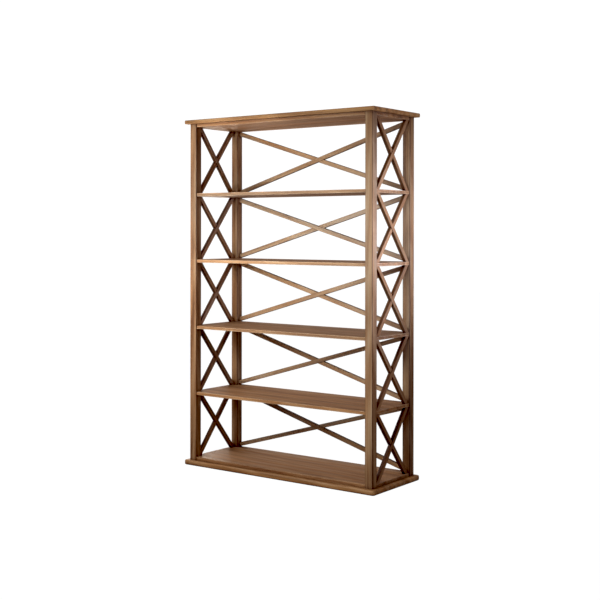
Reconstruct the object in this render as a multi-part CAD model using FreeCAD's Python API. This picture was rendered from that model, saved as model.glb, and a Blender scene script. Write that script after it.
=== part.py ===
import FreeCAD, Part
import math
import os

# An open bookshelf in solid wood. Four square posts stand between a base board and a cap board
# and carry six shelf boards. Crossed braces fill both ends and the back of each of the five bays.
# The origin is the middle of the underside of the base board. X runs from left to right,
# Y from front to back and Z up. All sizes are in millimetres.

# The frame over the outer faces of the posts
frame_width = 1250.0
frame_depth = 425.0
post_size = 46.0
post_round = 4.0

# The base board and the cap board, which stand out past the posts all round
overhang = 25.0
base_thickness = 28.0
cap_thickness = 22.0
base_round = 8.0
base_corner = 16.0
cap_round = 5.0
cap_corner = 8.0

# The shelf boards: their edges lie a small reveal behind the faces of the posts
shelf_thickness = 18.0
shelf_round = 1.5
reveal = 5.0

# Clear heights of the bays between the shelf boards
bay_count = 5
bottom_bay_height = 360.0
middle_bay_height = 366.0
top_bay_height = 384.0

# The joints of the posts: a tenon at each end and a housing at each shelf
tenon_size = 26.0
tenon_length = 14.0
housing_depth = 6.0

# The braces: a step shows where one brace passes over the other
brace_width = 24.0
brace_thickness = 20.0
brace_chamfer = 1.2
lap_step = 3.0
corner_gap = 1.0

# The stub tenons on the ends of the braces, in the shelf boards at the sides and the posts at the rear
stub_width = 15.0
stub_thickness = 8.0
side_stub_length = 7.0
rear_stub_length = 12.0

# The room left for glue round a tenon or a lap, and past a tenon's end
side_clearance = 0.1
end_clearance = 1.0

# Which brace lies on the outside of each crossing, from the bottom bay up
SIDE_OUTER = ("rising", "rising", "falling", "falling", "rising")
REAR_OUTER = ("rising", "falling", "falling", "rising", "falling")

# Places that follow from the sizes above
outer_x = frame_width / 2
outer_y = frame_depth / 2
inner_x = outer_x - post_size
inner_y = outer_y - post_size
shelf_x = outer_x - reveal
shelf_y = outer_y - reveal
lattice_thickness = brace_thickness + lap_step
lap_plane = lattice_thickness / 2
UP = FreeCAD.Vector(0, 0, 1)


def bay_heights():
    middle = [middle_bay_height] * (bay_count - 2)
    return [bottom_bay_height] + middle + [top_bay_height]


def shelf_floors():
    """Heights of the undersides of the shelf boards, from the lowest up."""
    floors = [base_thickness]
    for height in bay_heights():
        floors.append(floors[-1] + shelf_thickness + height)
    return floors


FLOORS = shelf_floors()
POST_TOP = FLOORS[-1] + shelf_thickness
BAYS = [(floor + shelf_thickness, height) for floor, height in zip(FLOORS, bay_heights())]


def prism(points, depth):
    """A straight solid on a closed outline, deep along the vector given."""
    face = Part.Face(Part.makePolygon(list(points) + [points[0]]))
    return face.extrude(depth)


def centred_box(width, depth, height, centre_x, centre_y, floor):
    corner = FreeCAD.Vector(centre_x - width / 2, centre_y - depth / 2, floor)
    return Part.makeBox(width, depth, height, corner)


def edge_middle(edge):
    return (edge.Vertexes[0].Point + edge.Vertexes[-1].Point) / 2


def edge_line(edge):
    return (edge.Vertexes[-1].Point - edge.Vertexes[0].Point).normalize()


def runs_along(edge, line):
    return math.isclose(abs(edge_line(edge).dot(line)), 1)


def edges_along(solid, line):
    """The straight edges of a solid that run along one line."""
    return [edge for edge in solid.Edges if runs_along(edge, line)]


def cut_all(solid, cutters):
    return solid.cut(Part.makeCompound(cutters)) if cutters else solid


# Posts, base board and cap board

def post_places():
    places = {}
    for depth_name, depth_sign in (("front", -1), ("rear", 1)):
        for side_name, side_sign in (("left", -1), ("right", 1)):
            places[depth_name + "_" + side_name + "_post"] = (side_sign, depth_sign)
    return places


def post_centre(signs):
    return signs[0] * (outer_x - post_size / 2), signs[1] * (outer_y - post_size / 2)


def post(signs, shelf_blanks, rear_sockets):
    """A square post with a tenon at each end, housed round the corner of each shelf board."""
    centre_x, centre_y = post_centre(signs)
    length = POST_TOP - base_thickness
    shaft = centred_box(post_size, post_size, length, centre_x, centre_y, base_thickness)
    shaft = shaft.makeFillet(post_round, edges_along(shaft, UP))
    tenon_floor = base_thickness - tenon_length
    tenon = centred_box(tenon_size, tenon_size, length + 2 * tenon_length, centre_x, centre_y, tenon_floor)
    body = cut_all(shaft.fuse(tenon), shelf_blanks)
    return cut_all(body, rear_sockets if signs[1] > 0 else []).removeSplitter()


def mortises(floor):
    """Blind holes for the tenons, with glue room, from the floor up."""
    size = tenon_size + 2 * side_clearance
    depth = tenon_length + end_clearance
    centres = [post_centre(signs) for signs in post_places().values()]
    return [centred_box(size, size, depth, x, y, floor) for x, y in centres]


def wide_board(floor, thickness, corner, rounding):
    """A board with rounded corners, and with all its level edges rounded over."""
    width = frame_width + 2 * overhang
    depth = frame_depth + 2 * overhang
    board = centred_box(width, depth, thickness, 0, 0, floor)
    board = board.makeFillet(corner, edges_along(board, UP))
    rim = [edge for edge in board.Edges if not runs_along(edge, UP)]
    return board.makeFillet(rounding, rim)


def base_board():
    mortise_floor = base_thickness - tenon_length - end_clearance
    return cut_all(wide_board(0, base_thickness, base_corner, base_round), mortises(mortise_floor))


def cap_board():
    return cut_all(wide_board(POST_TOP, cap_thickness, cap_corner, cap_round), mortises(POST_TOP))


# Shelf boards

def shelf_blank(floor):
    """A square-edged shelf board, notched at its corners to enter the housings in the posts."""
    notch_x = inner_x + housing_depth
    notch_y = inner_y + housing_depth
    quarter = [(notch_x, shelf_y), (notch_x, notch_y), (shelf_x, notch_y)]
    outline = [(x, y) for x, y in quarter]
    outline += [(x, -y) for x, y in reversed(quarter)]
    outline += [(-x, -y) for x, y in quarter]
    outline += [(-x, y) for x, y in reversed(quarter)]
    points = [FreeCAD.Vector(x, y, floor) for x, y in outline]
    return prism(points, UP * shelf_thickness)


def on_rim(edge):
    """True of the level edges along the front, the back and both ends of a shelf board."""
    middle = edge_middle(edge)
    at_end = math.isclose(abs(middle.x), shelf_x)
    at_front_or_back = math.isclose(abs(middle.y), shelf_y)
    return (at_end or at_front_or_back) and not runs_along(edge, UP)


def shelf_board(floor, side_sockets):
    blank = shelf_blank(floor)
    board = blank.makeFillet(shelf_round, [edge for edge in blank.Edges if on_rim(edge)])
    return cut_all(board, side_sockets)


# Crossed braces

def end_cut_length(run, rise, width):
    """Length of the level cut on a slanting bar whose cut ends just fill a run and a rise."""
    reach = math.sqrt(run ** 2 + rise ** 2 - width ** 2)
    return width * (rise * reach - width * run) / (rise ** 2 - width ** 2)


def level_cut_outline(run, rise):
    """Outline of a brace that stands on the shelf below and meets the shelf above."""
    foot = end_cut_length(run - 2 * corner_gap, rise, brace_width)
    near = corner_gap
    far = run - corner_gap
    return [(near, 0), (near + foot, 0), (far, rise), (far - foot, rise)]


def plumb_cut_outline(run, rise):
    """Outline of a brace that meets the inner faces of two posts."""
    return [(along, up) for up, along in level_cut_outline(rise, run)]


def leaning(outline, run, lean):
    """The outline as drawn for a rising brace, and turned over for a falling one."""
    return outline if lean == "rising" else [(run - along, up) for along, up in outline]


def outline_axis(outline):
    """The middles of the two end cuts of a brace."""
    first = [(a + b) / 2 for a, b in zip(outline[0], outline[1])]
    last = [(a + b) / 2 for a, b in zip(outline[2], outline[3])]
    return first, last


def axis_band(outline):
    """A strip along a brace, wider than the brace by the clearance on both sides."""
    (start_along, start_up), (end_along, end_up) = outline_axis(outline)
    length = math.hypot(end_along - start_along, end_up - start_up)
    half = brace_width / 2 + side_clearance
    aside = (-(end_up - start_up) / length * half, (end_along - start_along) / length * half)
    return [
        (start_along + aside[0], start_up + aside[1]),
        (start_along - aside[0], start_up - aside[1]),
        (end_along - aside[0], end_up - aside[1]),
        (end_along + aside[0], end_up + aside[1]),
    ]


def slab(outline, near, far, place):
    """A solid on an outline in a lattice, between two depths in from its outer face."""
    points = [place(along, up, near) for along, up in outline]
    return prism(points, place(0, 0, far) - place(0, 0, near))


def stub_outline(cut, far_cut, width, length):
    """Outline of a stub tenon that stands square on the middle of an end cut."""
    start = FreeCAD.Vector(*cut[0])
    across = (FreeCAD.Vector(*cut[1]) - start).normalize()
    inward = FreeCAD.Vector(*far_cut[0]) - start
    outward = (across * inward.dot(across) - inward).normalize()
    middle = (start + FreeCAD.Vector(*cut[1])) / 2
    aside = across * (width / 2)
    root = [middle - aside, middle + aside]
    tip = [point + outward * length for point in reversed(root)]
    return [(point.x, point.y) for point in root + tip]


def stubs(outline, length, side_room, end_room, place):
    """The stub tenons at both ends of a brace or, with room for glue, the sockets for them."""
    first = outline[:2]
    last = outline[2:]
    width = stub_width + 2 * side_room
    half = stub_thickness / 2 + side_room
    solids = []
    for cut, far_cut in ((first, last), (last, first)):
        shape = stub_outline(cut, far_cut, width, length + end_room)
        solids.append(slab(shape, lap_plane - half, lap_plane + half, place))
    return solids


def brace(outline, other, outside, stub_length, place):
    """One brace with its stub tenons, halved where the other brace crosses it."""
    near = 0 if outside else lap_step
    bar = slab(outline, near, near + brace_thickness, place)
    first, last = outline_axis(outline)
    line = (place(last[0], last[1], near) - place(first[0], first[1], near)).normalize()
    bar = bar.makeChamfer(brace_chamfer, edges_along(bar, line))
    past_face = -brace_chamfer
    lap = (lap_plane, lattice_thickness - past_face) if outside else (past_face, lap_plane)
    bar = bar.cut(slab(axis_band(other), lap[0], lap[1], place))
    return bar.fuse(stubs(outline, stub_length, 0, 0, place)).removeSplitter()


def both_outlines(run, rise, cut_outline):
    return {lean: leaning(cut_outline(run, rise), run, lean) for lean in ("rising", "falling")}


def crossed_pair(outlines, outer_lean, stub_length, place):
    """The two braces of one bay, named by the way that they lean."""
    opposite = {"rising": "falling", "falling": "rising"}
    pair = {}
    for lean, outline in outlines.items():
        other = outlines[opposite[lean]]
        pair[lean] = brace(outline, other, lean == outer_lean, stub_length, place)
    return pair


def sockets(outlines, stub_length, place):
    """The sockets for all the stub tenons of one crossed pair."""
    cutters = []
    for outline in outlines.values():
        cutters += stubs(outline, stub_length, side_clearance, end_clearance, place)
    return cutters


def side_outlines(height):
    return both_outlines(2 * inner_y, height, level_cut_outline)


def rear_outlines(height):
    return both_outlines(2 * inner_x, height, plumb_cut_outline)


def side_place(sign, floor):
    def place(along, up, inward):
        return FreeCAD.Vector(sign * (shelf_x - inward), along - inner_y, floor + up)
    return place


def rear_place(floor):
    def place(along, up, inward):
        return FreeCAD.Vector(along - inner_x, shelf_y - inward, floor + up)
    return place


def side_braces(side, sign):
    """Crossed braces of one end: rising from the front to the back, or falling."""
    braces = {}
    for number, (floor, height) in enumerate(BAYS):
        outer_lean = SIDE_OUTER[number % len(SIDE_OUTER)]
        pair = crossed_pair(side_outlines(height), outer_lean, side_stub_length, side_place(sign, floor))
        for lean, solid in pair.items():
            braces[side + "_brace_bay_" + str(number + 1) + "_" + lean] = solid
    return braces


def rear_braces():
    """Crossed braces of the back: rising from the left to the right, or falling."""
    braces = {}
    for number, (floor, height) in enumerate(BAYS):
        outer_lean = REAR_OUTER[number % len(REAR_OUTER)]
        pair = crossed_pair(rear_outlines(height), outer_lean, rear_stub_length, rear_place(floor))
        for lean, solid in pair.items():
            braces["rear_brace_bay_" + str(number + 1) + "_" + lean] = solid
    return braces


# The whole bookshelf

def all_posts():
    shelf_blanks = [shelf_blank(floor) for floor in FLOORS]
    rear_sockets = []
    for floor, height in BAYS:
        rear_sockets += sockets(rear_outlines(height), rear_stub_length, rear_place(floor))
    return {name: post(signs, shelf_blanks, rear_sockets) for name, signs in post_places().items()}


def all_shelves():
    middle_names = ["shelf_" + str(number) for number in range(1, bay_count)]
    names = ["bottom_shelf"] + middle_names + ["top_shelf"]
    side_sockets = []
    for floor, height in BAYS:
        for sign in (-1, 1):
            side_sockets += sockets(side_outlines(height), side_stub_length, side_place(sign, floor))
    return {name: shelf_board(floor, side_sockets) for name, floor in zip(names, FLOORS)}


def bookshelf():
    nodes = {"base_board": base_board(), "cap_board": cap_board()}
    nodes.update(all_posts())
    nodes.update(all_shelves())
    nodes.update(side_braces("left", -1))
    nodes.update(side_braces("right", 1))
    nodes.update(rear_braces())
    return nodes


os.makedirs("parts", exist_ok=True)
for node_name, node_shape in bookshelf().items():
    node_shape.exportStep("parts/" + node_name + ".step")
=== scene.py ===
import math
import random

import bpy
from mathutils import Matrix, Vector


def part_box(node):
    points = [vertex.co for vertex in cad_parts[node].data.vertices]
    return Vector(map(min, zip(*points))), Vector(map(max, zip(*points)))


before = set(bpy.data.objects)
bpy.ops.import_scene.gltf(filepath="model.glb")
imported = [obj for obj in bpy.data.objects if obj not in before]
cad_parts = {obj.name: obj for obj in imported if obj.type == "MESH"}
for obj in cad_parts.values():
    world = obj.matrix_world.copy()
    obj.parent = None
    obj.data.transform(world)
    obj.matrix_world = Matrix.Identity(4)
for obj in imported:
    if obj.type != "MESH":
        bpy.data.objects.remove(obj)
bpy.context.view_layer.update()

# The camera of the photograph, worked out from the edges of the bookshelf, for an image of 600 by 600
IMAGE_SIZE = 600
FOCAL_PIXELS = 1107.84
AXIS_PIXEL = (282.0, 231.11)
CAMERA_PLACE = (3.6749, -5.0503, 1.3572)
CAMERA_YAW = math.radians(36.895)
CAMERA_ROLL = 0.0013
SENSOR_WIDTH = 36.0

# Lamps: place, the point it looks at, width and height in metres,
# power in watts, colour and spread in degrees
LAMPS = {
    "front_left": ((-1.05, -1.45, 1.46), (-0.50, -0.2, 1.22), (0.8, 0.6), 2.5, (1.0, 0.90, 0.78), 88),
    "post_left": ((-0.60, -1.6, 1.15), (-0.60, -0.2, 1.12), (0.05, 0.5), 1.35, (1.0, 0.84, 0.66), 70),
    "front_middle": ((-0.3, -1.7, 1.45), (-0.2, -0.2, 1.38), (1.0, 0.4), 3.6, (0.82, 0.95, 1.0), 80),
    "front_right": ((0.95, -1.7, 1.52), (0.60, -0.2, 1.46), (0.5, 0.5), 2.8, (0.85, 0.94, 1.0), 66),
    "left_high": ((-0.4, -1.3, 1.35), (-0.10, -0.2, 0.25), (0.9, 0.3), 3.8, (1.0, 0.95, 0.84), 110),
    "left_low": ((-0.6, -1.7, 0.75), (-0.25, -0.2, 0.40), (0.9, 0.4), 0.65, (0.92, 0.95, 1.0), 90),
    "right_low": ((0.62, -1.4, 0.45), (0.62, -0.2, 0.42), (0.15, 0.4), 0.60, (1.0, 0.95, 0.78), 56),
    "right_near": ((1.40, -0.19, 1.32), (0.6, -0.19, 1.30), (0.05, 0.5), 0.9, (0.56, 0.62, 1.0), 110),
    "right_far": ((2.7, -0.19, 1.34), (0.6, -0.19, 1.29), (0.05, 0.5), 2.1, (0.58, 0.66, 1.0), 38),
    "right_foot": ((2.2, -0.19, 0.50), (0.6, -0.19, 0.42), (0.05, 0.4), 0.11, (1.0, 0.86, 0.76), 50),
    "right_rear": ((1.6, 0.9, 1.38), (0.62, 0.0, 1.36), (0.6, 0.8), 1.3, (1.0, 0.86, 0.76), 56),
    "cap_left": ((-0.55, -0.95, 1.50), (-0.36, -0.16, 1.97), (0.8, 0.2), 0.9, (1.0, 0.87, 0.76), 56),
    "rear_left": ((-3.0, 1.8, 0.45), (0.0, 0.0, 1.30), (1.4, 0.5), 10.5, (1.0, 0.88, 0.76), 100),
    "backdrop": ((-2.2, 3.2, 1.20), (0.0, 0.0, 1.00), (4.0, 2.4), 8.0, (1.0, 0.60, 0.42), 180),
}
# The lamps that leave no glare on the finish
NO_GLARE = ("right_near", "right_far")
# The even light from all round, and the white that the camera sees behind the bookshelf
AMBIENT = 0.295
AMBIENT_COLOUR = (1.0, 0.86, 0.76, 1.0)
WHITE = (1.0, 1.0, 1.0, 1.0)
WHITE_GLOW = 1.05
# The floor: its width in metres, its own colour and the share of white in what the camera sees of it
FLOOR_SIZE = 40.0
FLOOR_COLOUR = (0.45, 0.43, 0.40, 1.0)
FLOOR_WHITENESS = 0.97
# The red, green and blue that the picture shows as black
BLACK_LEVEL = (0.024, 0.020, 0.0135)

# Wood: the ramp from the dark streaks to the light wood between them
WOOD_RAMP = (
    (0.22, (0.110, 0.045, 0.018, 1.0)),
    (0.48, (0.292, 0.159, 0.077, 1.0)),
    (0.78, (0.440, 0.296, 0.178, 1.0)),
)
# Figures of the wood: repeats per metre along the grain and across it, detail and distortion
BROAD_FIGURE = ((0.7, 20.0, 20.0), 3.0, 0.3)
STREAK_FIGURE = ((1.1, 90.0, 90.0), 2.0, 0.2)
FINE_FIGURE = ((4.0, 240.0, 240.0), 4.0, 0.0)
PORE_FIGURE = ((60.0, 1000.0, 1000.0), 2.0, 0.0)
TINT_FIGURE = ((0.5, 34.0, 34.0), 2.0, 0.0)
WEAR_AND_SHADE_FIGURE = ((9.0, 40.0, 40.0), 2.0, 0.0)
# Growth rings: the stretch along the grain and across it, and the settings of the wave
RING_STRETCH = (0.14, 1.0, 1.0)
RING_WAVE = {"Scale": 9.0, "Distortion": 7.0, "Detail": 2.0, "Detail Scale": 1.2}
# How much each figure counts, and how far the staves of a board differ
BROAD_WEIGHT = 0.38
STREAK_WEIGHT = 0.34
FINE_WEIGHT = 0.20
RING_WEIGHT = 0.12
PORE_WEIGHT = 0.10
STAVE_WEIGHT = 0.06
# How strong the figure is on the posts and on the other pieces, and the level that it swings about
POST_DEPTH = 1.45
PLAIN_DEPTH = 1.0
FIGURE_MIDDLE = 0.49
# Staves of the glued-up boards: width in metres, a width that leaves a piece whole,
# and how far apart along the grain two staves can be cut
STAVE_WIDTH = 0.083
WHOLE_WIDTH = 10.0
STAVE_STEP = 5.0
# How light each kind of piece, or one board, is in red, green and blue, set against the posts
STAINS = {
    "post": (1.0, 1.0, 1.0),
    "shelf": (1.25, 1.22, 1.20),
    "shelf_1": (1.08, 1.06, 1.04),
    "shelf_2": (1.06, 1.04, 1.02),
    "bottom_shelf": (1.30, 1.27, 1.24),
    "rear_brace": (1.08, 1.17, 1.28),
    "side_brace": (0.94, 0.89, 0.86),
    "cap_board": (1.72, 1.64, 1.36),
    "base_board": (1.50, 1.50, 1.42),
}
# The tints between which the wood wanders from streak to streak
WARM_TINT = (1.09, 1.00, 0.86, 1.0)
COOL_TINT = (0.92, 1.00, 1.13, 1.0)
# The colours of the edges: worn pale on the boards, and a dark line of painted shade on the posts and
# braces
WORN_COLOUR = (0.64, 0.49, 0.345, 1.0)
PAINTED_EDGE_SHADE = (0.045, 0.020, 0.012, 1.0)
# How much of that colour the edges take, and how far in metres it reaches in from them
SHELF_WEAR = 0.85
SHELF_REACH = 0.009
# On the cap and base this is pale wear; on the posts and braces it is a dark line of painted shade
PLAIN_WEAR_AND_SHADE = 0.4
PLAIN_REACH = 0.004
# How much of that painted shade the rounded edges of the posts take
POST_ARRIS_SHADE = 0.75
# Painted shade that darkens the narrow sides of the braces
PAINTED_SIDE_SHADE = (0.46, 0.40, 0.36, 1.0)
NO_TINT = (1.0, 1.0, 1.0, 1.0)
# Painted shade that darkens the inner corners and the joints, and how far in metres it reaches
PAINTED_CORNER_SHADE = (0.42, 0.34, 0.28, 1.0)
CORNER_REACH = 0.022
# The stretch of a noise, of the likeness of two directions or of an openness that is spread over
# another range, which is the unit range unless the call names its own
PORE_RANGE = (0.56, 0.70)
TINT_RANGE = (0.35, 0.65)
WEAR_AND_SHADE_RANGE = (0.35, 0.65)
FINE_RANGE = (0.25, 0.75)
EDGE_RANGE = (0.995, 0.90)
FLAT_RANGE = (0.5, 0.9)
ARRIS_RANGE = (0.99, 0.90)
CORNER_RANGE = (0.35, 0.92)
UNIT_RANGE = (0.0, 1.0)
# The least and the most share of its edge colour, pale wear on the boards and painted shade on the posts
# and braces, that an edge takes along its length
WEAR_AND_SHADE_SHARES = (0.35, 1.0)
# How many samples the masks of the edges and the corners take
MASK_SAMPLES = 6
# The satin finish: its roughness from the hollows of the fine grain to the ridges,
# and how much smoother the edges are worn
ROUGHNESS = (0.58, 0.42)
WORN_POLISH = 0.06
# The relief of the grain: the shares of the ridges and of the pores, its strength and its depth in metres
FINE_HEIGHT = 0.6
PORE_HEIGHT = 0.4
BUMP_STRENGTH = 0.35
BUMP_DISTANCE = 0.0006
# The thin coat over the wood
COAT_WEIGHT = 0.02
COAT_ROUGHNESS = 0.35
WOOD_IOR = 1.42
# How far the pieces differ in shade, in warmth and in where they were cut
SHADES = (0.93, 1.07)
WARMTHS = (-0.03, 0.03)
CUTS = (-20.0, 20.0)
SIDE_CUTS = (-2.0, 2.0)
SEED = 11

ALONG_X = (1.0, 0.0, 0.0)
ALONG_Y = (0.0, 1.0, 0.0)
ALONG_Z = (0.0, 0.0, 1.0)
# The inputs and outputs of the wood's node group
WOOD_SOCKETS = (
    ("INPUT", "NodeSocketVector", ("Grain", "Flat")),
    ("INPUT", "NodeSocketColor", ("Tone", "Edge", "Side")),
    ("INPUT", "NodeSocketFloat", ("Stave", "Depth", "Wear And Shade", "Reach", "Arris Shade")),
    ("OUTPUT", "NodeSocketColor", ("Color",)),
    ("OUTPUT", "NodeSocketFloat", ("Roughness", "Height")),
)


def add_node(tree, kind, inputs=None, **settings):
    """A node with its settings, and with its inputs set or linked by name or number."""
    node = tree.nodes.new(kind)
    for key, value in settings.items():
        setattr(node, key, value)
    for key, value in (inputs or {}).items():
        if isinstance(value, bpy.types.NodeSocket):
            tree.links.new(value, node.inputs[key])
        else:
            node.inputs[key].default_value = value
    return node


def fresh_tree(owner):
    """The emptied node tree of a material or a world."""
    owner.use_nodes = True
    owner.node_tree.nodes.clear()
    return owner.node_tree


def math_node(tree, operation, first, second=0.0):
    """The result of a sum on one or two numbers."""
    return add_node(tree, "ShaderNodeMath", {0: first, 1: second}, operation=operation).outputs[0]


def vector_node(tree, operation, first, second):
    """The results of a sum on two vectors."""
    return add_node(tree, "ShaderNodeVectorMath", {0: first, 1: second}, operation=operation).outputs


def mapped(tree, value, span, result=UNIT_RANGE):
    """A value moved from one range to another."""
    inputs = {0: value, 1: span[0], 2: span[1], 3: result[0], 4: result[1]}
    return add_node(tree, "ShaderNodeMapRange", inputs).outputs[0]


def mixed(tree, share, first, second):
    """A colour between two others."""
    inputs = {0: share, 6: first, 7: second}
    return add_node(tree, "ShaderNodeMix", inputs, data_type="RGBA").outputs[2]


def multiplied(tree, colour, tint):
    """A colour seen through a tint."""
    inputs = {0: 1.0, 6: colour, 7: tint}
    return add_node(tree, "ShaderNodeMix", inputs, data_type="RGBA", blend_type="MULTIPLY").outputs[2]


def stretched_noise(tree, vector, repeats, detail, distortion):
    """Noise drawn out along the grain."""
    stretched = vector_node(tree, "MULTIPLY", vector, repeats)[0]
    inputs = {"Vector": stretched, "Scale": 1.0, "Detail": detail, "Distortion": distortion}
    return add_node(tree, "ShaderNodeTexNoise", inputs).outputs[0]


def stave_shift(tree, grain, width):
    """A random number for each stave of a glued-up board."""
    across = add_node(tree, "ShaderNodeSeparateXYZ", {0: grain}).outputs[1]
    place = math_node(tree, "DIVIDE", across, width)
    number = math_node(tree, "FLOOR", math_node(tree, "ADD", place, 0.5))
    return add_node(tree, "ShaderNodeTexWhiteNoise", {"W": number}, noise_dimensions="1D").outputs[0]


def edge_mask(tree, grain, reach):
    """Up to one on the edges and nought on flat faces, broken up along the edge."""
    rounded = add_node(tree, "ShaderNodeBevel", {"Radius": reach}, samples=MASK_SAMPLES).outputs[0]
    flat = add_node(tree, "ShaderNodeNewGeometry").outputs["Normal"]
    likeness = vector_node(tree, "DOT_PRODUCT", rounded, flat)["Value"]
    bend = mapped(tree, likeness, EDGE_RANGE)
    wear_and_shade = stretched_noise(tree, grain, *WEAR_AND_SHADE_FIGURE)
    return math_node(tree, "MULTIPLY", bend, mapped(tree, wear_and_shade, WEAR_AND_SHADE_RANGE, WEAR_AND_SHADE_SHARES))


def flat_mask(tree, flat):
    """One on the faces that look along a direction and nought on the sides between them."""
    normal = add_node(tree, "ShaderNodeNewGeometry").outputs["Normal"]
    likeness = vector_node(tree, "DOT_PRODUCT", normal, flat)["Value"]
    return mapped(tree, math_node(tree, "ABSOLUTE", likeness), FLAT_RANGE)


def arris_shade_mask(tree):
    """One on the rounded edges of an upright post, where painted shade darkens them, and nought on its
    flat sides.
    """
    normal = add_node(tree, "ShaderNodeNewGeometry").outputs["Normal"]
    parts = add_node(tree, "ShaderNodeSeparateXYZ", {0: normal}).outputs
    facing_x = math_node(tree, "ABSOLUTE", parts["X"])
    facing_y = math_node(tree, "ABSOLUTE", parts["Y"])
    return mapped(tree, math_node(tree, "MAXIMUM", facing_x, facing_y), ARRIS_RANGE)


def corner_shade_mask(tree):
    """One in open air, falling to nought in inner corners and at the joints, where painted shade darkens
    the wood.
    """
    inputs = {"Distance": CORNER_REACH}
    openness = add_node(tree, "ShaderNodeAmbientOcclusion", inputs, samples=MASK_SAMPLES).outputs["AO"]
    return mapped(tree, openness, CORNER_RANGE)


def wood_figure(tree, grain, fine, pores, stave, depth):
    """How light the wood is from streak to streak."""
    broad = stretched_noise(tree, grain, *BROAD_FIGURE)
    streaks = stretched_noise(tree, grain, *STREAK_FIGURE)
    ring_place = vector_node(tree, "MULTIPLY", grain, RING_STRETCH)[0]
    ring_inputs = {"Vector": ring_place, **RING_WAVE}
    rings = add_node(tree, "ShaderNodeTexWave", ring_inputs, bands_direction="DIAGONAL").outputs["Fac"]
    figure = math_node(tree, "MULTIPLY", broad, BROAD_WEIGHT)
    for layer, weight in ((streaks, STREAK_WEIGHT), (fine, FINE_WEIGHT), (rings, RING_WEIGHT)):
        figure = math_node(tree, "ADD", figure, math_node(tree, "MULTIPLY", layer, weight))
    figure = math_node(tree, "SUBTRACT", figure, math_node(tree, "MULTIPLY", pores, PORE_WEIGHT))
    stave_level = mapped(tree, stave, UNIT_RANGE, (-STAVE_WEIGHT, STAVE_WEIGHT))
    figure = math_node(tree, "ADD", figure, stave_level)
    swing = math_node(tree, "MULTIPLY", math_node(tree, "SUBTRACT", figure, FIGURE_MIDDLE), depth)
    return math_node(tree, "ADD", swing, FIGURE_MIDDLE)


def ramp_colour(tree, level):
    """The colour of the wood at a level of its figure."""
    ramp = add_node(tree, "ShaderNodeValToRGB", {0: level})
    steps = ramp.color_ramp.elements
    for position, colour in WOOD_RAMP[1:-1]:
        steps.new(position)
    for step, (position, colour) in zip(steps, WOOD_RAMP):
        step.position = position
        step.color = colour
    return ramp.outputs[0]


def wood_group():
    """Grain coordinates in, wood colour with painted shade on its edges, sides and corners, roughness and
    height out.
    """
    tree = bpy.data.node_groups.new("wood_figure", "ShaderNodeTree")
    for way, kind, names in WOOD_SOCKETS:
        for name in names:
            tree.interface.new_socket(name, in_out=way, socket_type=kind)
    given = add_node(tree, "NodeGroupInput").outputs
    stave = stave_shift(tree, given["Grain"], given["Stave"])
    step = math_node(tree, "MULTIPLY", stave, STAVE_STEP)
    shift = add_node(tree, "ShaderNodeCombineXYZ", {0: step}).outputs[0]
    grain = vector_node(tree, "ADD", given["Grain"], shift)[0]

    fine = stretched_noise(tree, grain, *FINE_FIGURE)
    pores = mapped(tree, stretched_noise(tree, grain, *PORE_FIGURE), PORE_RANGE)
    figure = wood_figure(tree, grain, fine, pores, stave, given["Depth"])
    colour = multiplied(tree, ramp_colour(tree, figure), given["Tone"])
    wander = mapped(tree, stretched_noise(tree, grain, *TINT_FIGURE), TINT_RANGE)
    colour = multiplied(tree, colour, mixed(tree, wander, COOL_TINT, WARM_TINT))
    # Painted shade on the narrow sides of the braces
    side_shade = mixed(tree, flat_mask(tree, given["Flat"]), given["Side"], NO_TINT)
    colour = multiplied(tree, colour, side_shade)

    # The edges: pale wear on the boards, and a dark line of painted shade on the posts and braces
    wear_and_shade = edge_mask(tree, grain, given["Reach"])
    # Painted shade on the rounded edges of the posts
    arris_shade = math_node(tree, "MULTIPLY", arris_shade_mask(tree), given["Arris Shade"])
    share = math_node(tree, "MAXIMUM", math_node(tree, "MULTIPLY", wear_and_shade, given["Wear And Shade"]), arris_shade)
    colour = mixed(tree, share, colour, given["Edge"])
    # Painted shade in the inner corners and at the joints
    colour = multiplied(tree, colour, mixed(tree, corner_shade_mask(tree), PAINTED_CORNER_SHADE, NO_TINT))

    polish = math_node(tree, "MULTIPLY", wear_and_shade, WORN_POLISH)
    rough = math_node(tree, "SUBTRACT", mapped(tree, fine, FINE_RANGE, ROUGHNESS), polish)
    ridges = math_node(tree, "MULTIPLY", fine, FINE_HEIGHT)
    height = math_node(tree, "SUBTRACT", ridges, math_node(tree, "MULTIPLY", pores, PORE_HEIGHT))
    add_node(tree, "NodeGroupOutput", {"Color": colour, "Roughness": rough, "Height": height})
    return tree


def wood_material(name, group, direction, shift, settings):
    """Satin wood whose grain runs along one direction."""
    material = bpy.data.materials.new(name)
    tree = fresh_tree(material)
    place = add_node(tree, "ShaderNodeTexCoord").outputs["Object"]
    turn = direction.rotation_difference(Vector(ALONG_X)).to_euler()
    mapping = {"Vector": place, "Location": shift, "Rotation": turn}
    grain = add_node(tree, "ShaderNodeMapping", mapping).outputs[0]
    wood = add_node(tree, "ShaderNodeGroup", node_tree=group)
    tree.links.new(grain, wood.inputs["Grain"])
    for key, value in settings.items():
        wood.inputs[key].default_value = value
    relief = {"Strength": BUMP_STRENGTH, "Distance": BUMP_DISTANCE, "Height": wood.outputs["Height"]}
    finish = {
        "Base Color": wood.outputs["Color"],
        "Roughness": wood.outputs["Roughness"],
        "Normal": add_node(tree, "ShaderNodeBump", relief).outputs[0],
        "Coat Weight": COAT_WEIGHT,
        "Coat Roughness": COAT_ROUGHNESS,
        "IOR": WOOD_IOR,
    }
    shader = add_node(tree, "ShaderNodeBsdfPrincipled", finish)
    add_node(tree, "ShaderNodeOutputMaterial", {"Surface": shader.outputs[0]})
    return material


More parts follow.
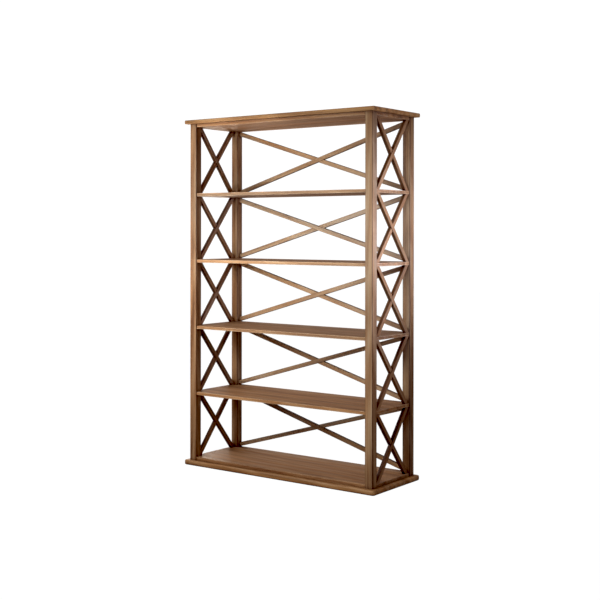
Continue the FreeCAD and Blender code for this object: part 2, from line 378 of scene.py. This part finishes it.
def grain_direction(name):
    """The way that the grain of a piece runs, from its name and its box."""
    low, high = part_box(name)
    span = high - low
    if name.endswith("_post"):
        return Vector(ALONG_Z)
    if "_brace_" in name:
        span.z *= 1.0 if name.endswith("_rising") else -1.0
        if name.startswith("rear"):
            span.y = 0.0
        else:
            span.x = 0.0
        return span.normalized()
    return Vector(ALONG_X)


def stain(name):
    """How light a piece came out of the stain, in red, green and blue."""
    if name in STAINS:
        return STAINS[name]
    if "shelf" in name:
        return STAINS["shelf"]
    if name.startswith("rear_brace"):
        return STAINS["rear_brace"]
    if "_brace_" in name:
        return STAINS["side_brace"]
    return STAINS["post"]


def dress(nodes):
    """Give every piece its own cut of wood."""
    group = wood_group()
    draw = random.Random(SEED)
    for name in sorted(nodes):
        post = name.endswith("_post")
        brace = "_brace_" in name
        shelf = "shelf" in name
        narrow = post or brace
        shade = draw.uniform(*SHADES)
        warmth = draw.uniform(*WARMTHS)
        spread = (shade * (1.0 + warmth), shade, shade * (1.0 - warmth))
        tone = [share * level for share, level in zip(spread, stain(name))]
        shift = [draw.uniform(*CUTS) for axis in range(3)]
        shift[1] = draw.uniform(*SIDE_CUTS) if narrow else 0.0
        settings = {
            "Tone": (*tone, 1.0),
            "Stave": WHOLE_WIDTH if narrow else STAVE_WIDTH,
            "Depth": POST_DEPTH if post else PLAIN_DEPTH,
            # The edges of the boards take pale wear; the edges of the posts and braces, and the sides of
            # the braces, take painted shade
            "Wear And Shade": SHELF_WEAR if shelf else PLAIN_WEAR_AND_SHADE,
            "Reach": SHELF_REACH if shelf else PLAIN_REACH,
            "Arris Shade": POST_ARRIS_SHADE if post else 0.0,
            "Edge": PAINTED_EDGE_SHADE if narrow else WORN_COLOUR,
            "Flat": ALONG_Y if name.startswith("rear") else ALONG_X,
            "Side": PAINTED_SIDE_SHADE if brace else NO_TINT,
        }
        material = wood_material("wood_" + name, group, grain_direction(name), shift, settings)
        nodes[name].data.materials.clear()
        nodes[name].data.materials.append(material)


def add_floor():
    """A plain pale floor that reads white and takes a faint contact shadow."""
    half = FLOOR_SIZE / 2
    corners = [(-half, -half, 0), (half, -half, 0), (half, half, 0), (-half, half, 0)]
    mesh = bpy.data.meshes.new("floor")
    mesh.from_pydata(corners, [], [(0, 1, 2, 3)])
    floor = bpy.data.objects.new("floor", mesh)
    bpy.context.scene.collection.objects.link(floor)
    material = bpy.data.materials.new("pale_floor")
    tree = fresh_tree(material)
    matt = add_node(tree, "ShaderNodeBsdfDiffuse", {"Color": FLOOR_COLOUR}).outputs[0]
    glow = add_node(tree, "ShaderNodeEmission", {"Color": WHITE, "Strength": WHITE_GLOW}).outputs[0]
    seen = add_node(tree, "ShaderNodeLightPath").outputs["Is Camera Ray"]
    share = math_node(tree, "MULTIPLY", seen, FLOOR_WHITENESS)
    surface = add_node(tree, "ShaderNodeMixShader", {0: share, 1: matt, 2: glow}).outputs[0]
    add_node(tree, "ShaderNodeOutputMaterial", {"Surface": surface})
    mesh.materials.append(material)


def add_world():
    """A white backdrop for the camera and a low even light for everything else."""
    world = bpy.data.worlds.new("studio")
    bpy.context.scene.world = world
    tree = fresh_tree(world)
    seen = add_node(tree, "ShaderNodeLightPath").outputs["Is Camera Ray"]
    dim = add_node(tree, "ShaderNodeBackground", {"Color": AMBIENT_COLOUR, "Strength": AMBIENT}).outputs[0]
    white = add_node(tree, "ShaderNodeBackground", {"Color": WHITE, "Strength": WHITE_GLOW}).outputs[0]
    surface = add_node(tree, "ShaderNodeMixShader", {0: seen, 1: dim, 2: white}).outputs[0]
    add_node(tree, "ShaderNodeOutputWorld", {"Surface": surface})


def add_lamps():
    """The lamps round the bookshelf, which the camera doesn't see."""
    for name, (place, target, size, power, colour, spread) in LAMPS.items():
        lamp = bpy.data.lights.new(name, "AREA")
        lamp.shape = "RECTANGLE"
        lamp.size = size[0]
        lamp.size_y = size[1]
        lamp.energy = power
        lamp.color = colour
        lamp.spread = math.radians(spread)
        holder = bpy.data.objects.new(name, lamp)
        holder.location = place
        holder.rotation_euler = (Vector(target) - Vector(place)).to_track_quat("-Z", "Y").to_euler()
        holder.visible_camera = False
        holder.visible_glossy = name not in NO_GLARE
        bpy.context.scene.collection.objects.link(holder)


def add_camera():
    """The camera of the photograph, looking level, with its axis shifted in the image."""
    lens = bpy.data.cameras.new("photo_camera")
    lens.sensor_width = SENSOR_WIDTH
    lens.lens = FOCAL_PIXELS / IMAGE_SIZE * SENSOR_WIDTH
    lens.shift_x = 0.5 - AXIS_PIXEL[0] / IMAGE_SIZE
    lens.shift_y = AXIS_PIXEL[1] / IMAGE_SIZE - 0.5
    camera = bpy.data.objects.new("photo_camera", lens)
    level = Matrix.Rotation(math.pi / 2, 4, "X")
    turn = Matrix.Rotation(CAMERA_YAW, 4, "Z") @ level @ Matrix.Rotation(CAMERA_ROLL, 4, "Z")
    camera.matrix_world = Matrix.Translation(CAMERA_PLACE) @ turn
    bpy.context.scene.collection.objects.link(camera)
    bpy.context.scene.camera = camera


def set_picture_tone():
    """Plain colours with the blacks of the photograph."""
    view = bpy.context.scene.view_settings
    view.view_transform = "Standard"
    view.use_curve_mapping = True
    view.curve_mapping.black_level = BLACK_LEVEL
    view.curve_mapping.update()


dress(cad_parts)
add_floor()
add_world()
add_lamps()
add_camera()
set_picture_tone()
